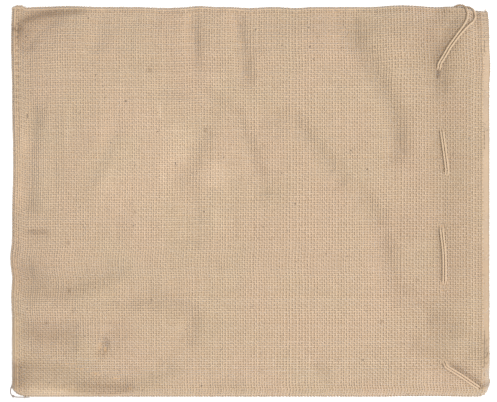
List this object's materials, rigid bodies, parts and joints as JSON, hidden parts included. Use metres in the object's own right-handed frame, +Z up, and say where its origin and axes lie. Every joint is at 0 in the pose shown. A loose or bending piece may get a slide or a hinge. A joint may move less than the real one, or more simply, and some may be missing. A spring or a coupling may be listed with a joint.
{
  "type": "jute frost protection bag",
  "caption": "Flat open-weave jute sack, drawn over a plant or its pot against frost, with a turned hem at its open end and a doubled twine drawcord in running stitches round the mouth.",
  "frame": {"origin": "centre of the bag's outline on the surface that it lies on", "axes": "+X along the bag to its open end, +Y across it from the folded side to the sewn side, +Z up from the surface"},
  "size_m": [0.6007, 0.4944, 0.0188],
  "materials": {
    "hessian": "open plain weave of undyed jute, matt and slubby",
    "twine": "twisted jute twine, matt",
    "seam_thread": "thin jute sewing thread, matt"
  },
  "bodies": {
    "root": {"bag_cloth": "hessian", "drawcord_strand_a": "twine", "drawcord_strand_b": "twine", "seam_thread_tail": "seam_thread"}
  },
  "joints": []
}
